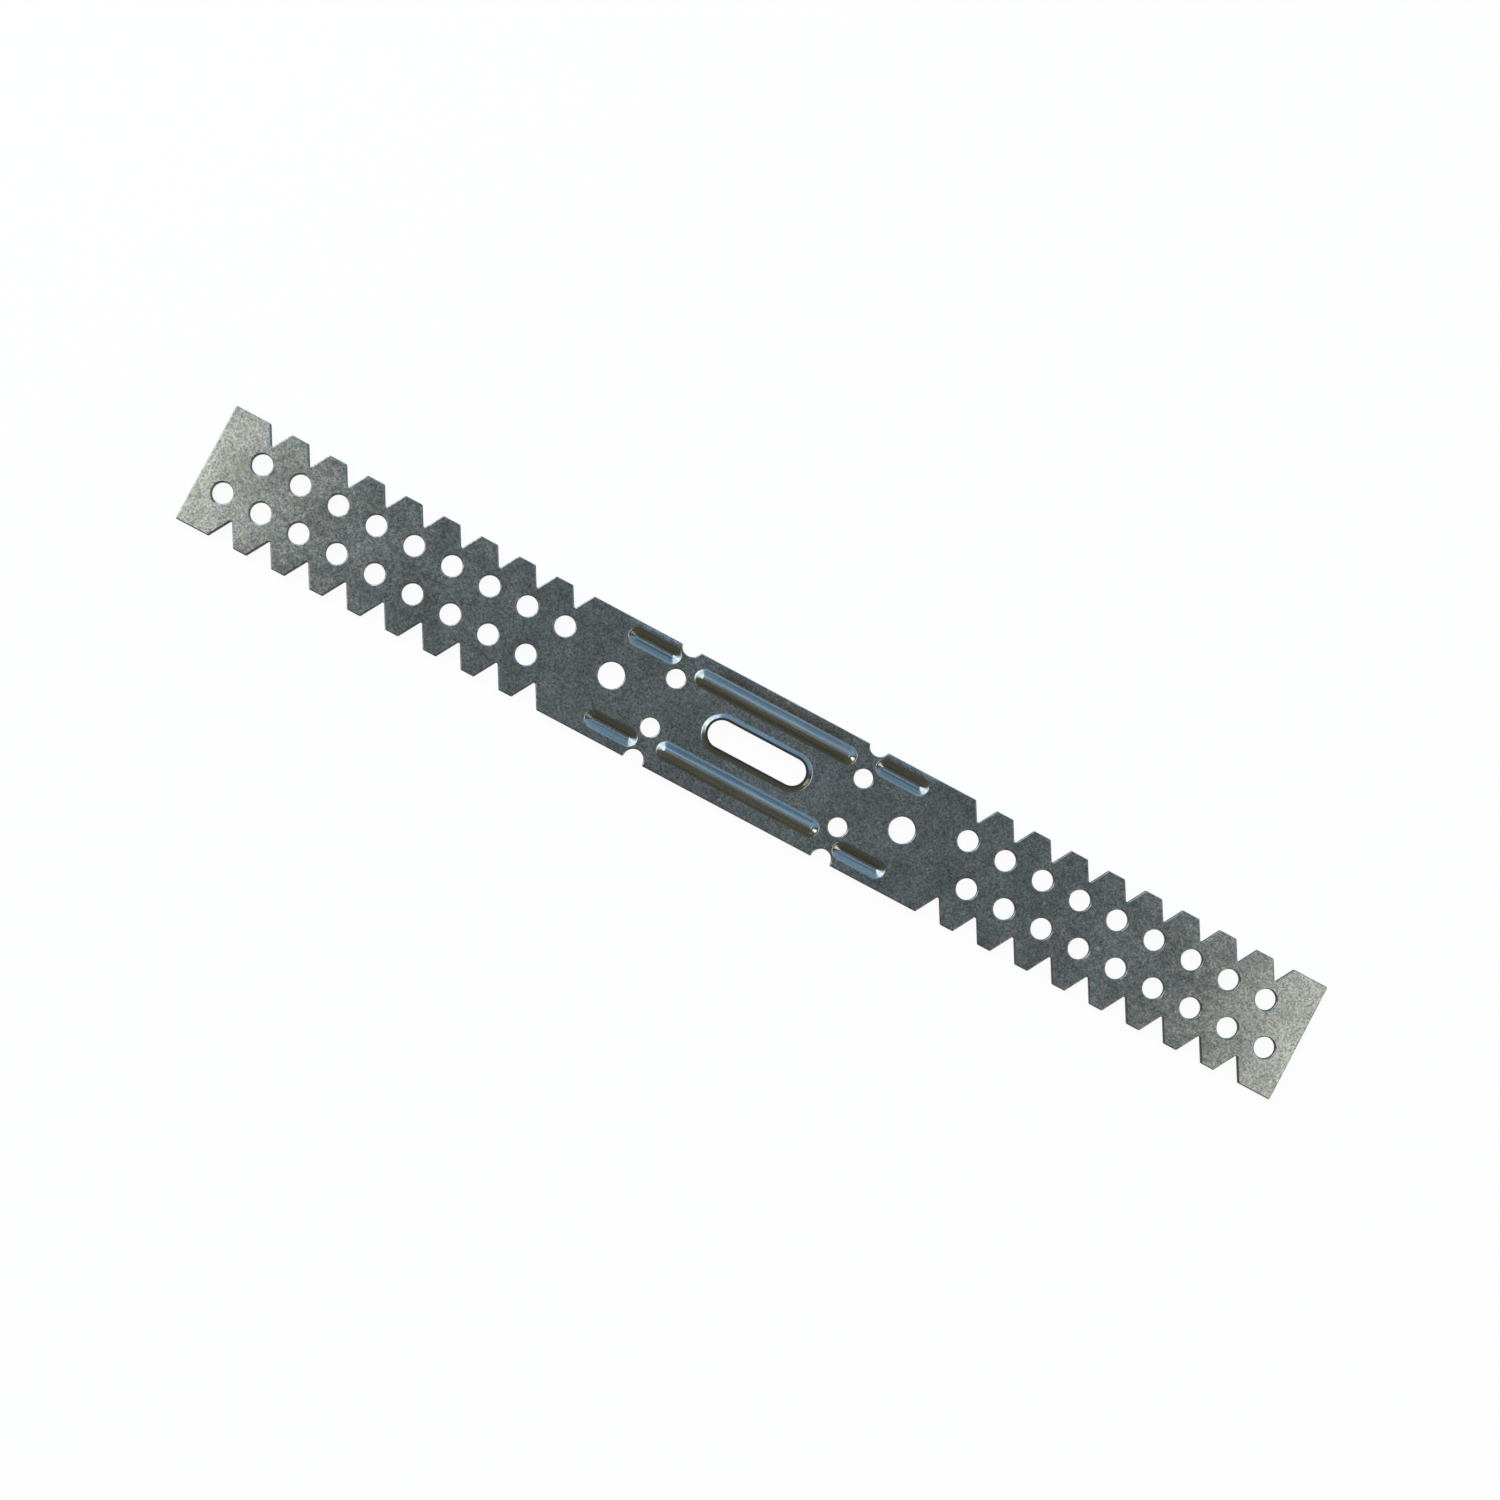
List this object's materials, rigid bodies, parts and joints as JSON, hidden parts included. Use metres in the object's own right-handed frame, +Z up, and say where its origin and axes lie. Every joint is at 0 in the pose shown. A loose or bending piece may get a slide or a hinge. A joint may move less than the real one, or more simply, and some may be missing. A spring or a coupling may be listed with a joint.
{
  "type": "direct hanger",
  "caption": "Flat punched steel strip hanger: slotted, beaded base between two perforated bend lines, and long legs with staggered screw holes and notched edges.",
  "frame": {"origin": "under the middle of the strip's outline, on the plane that the four sunk beads rest on", "axes": "+X along the strip, +Y across it, +Z up towards the face with the raised beads"},
  "size_m": [0.291, 0.03, 0.0036],
  "materials": {
    "galvanised_steel": "hot-dip zinc coating, dull, with fine grain"
  },
  "bodies": {
    "root": {"hanger_strip": "galvanised_steel"}
  },
  "joints": []
}
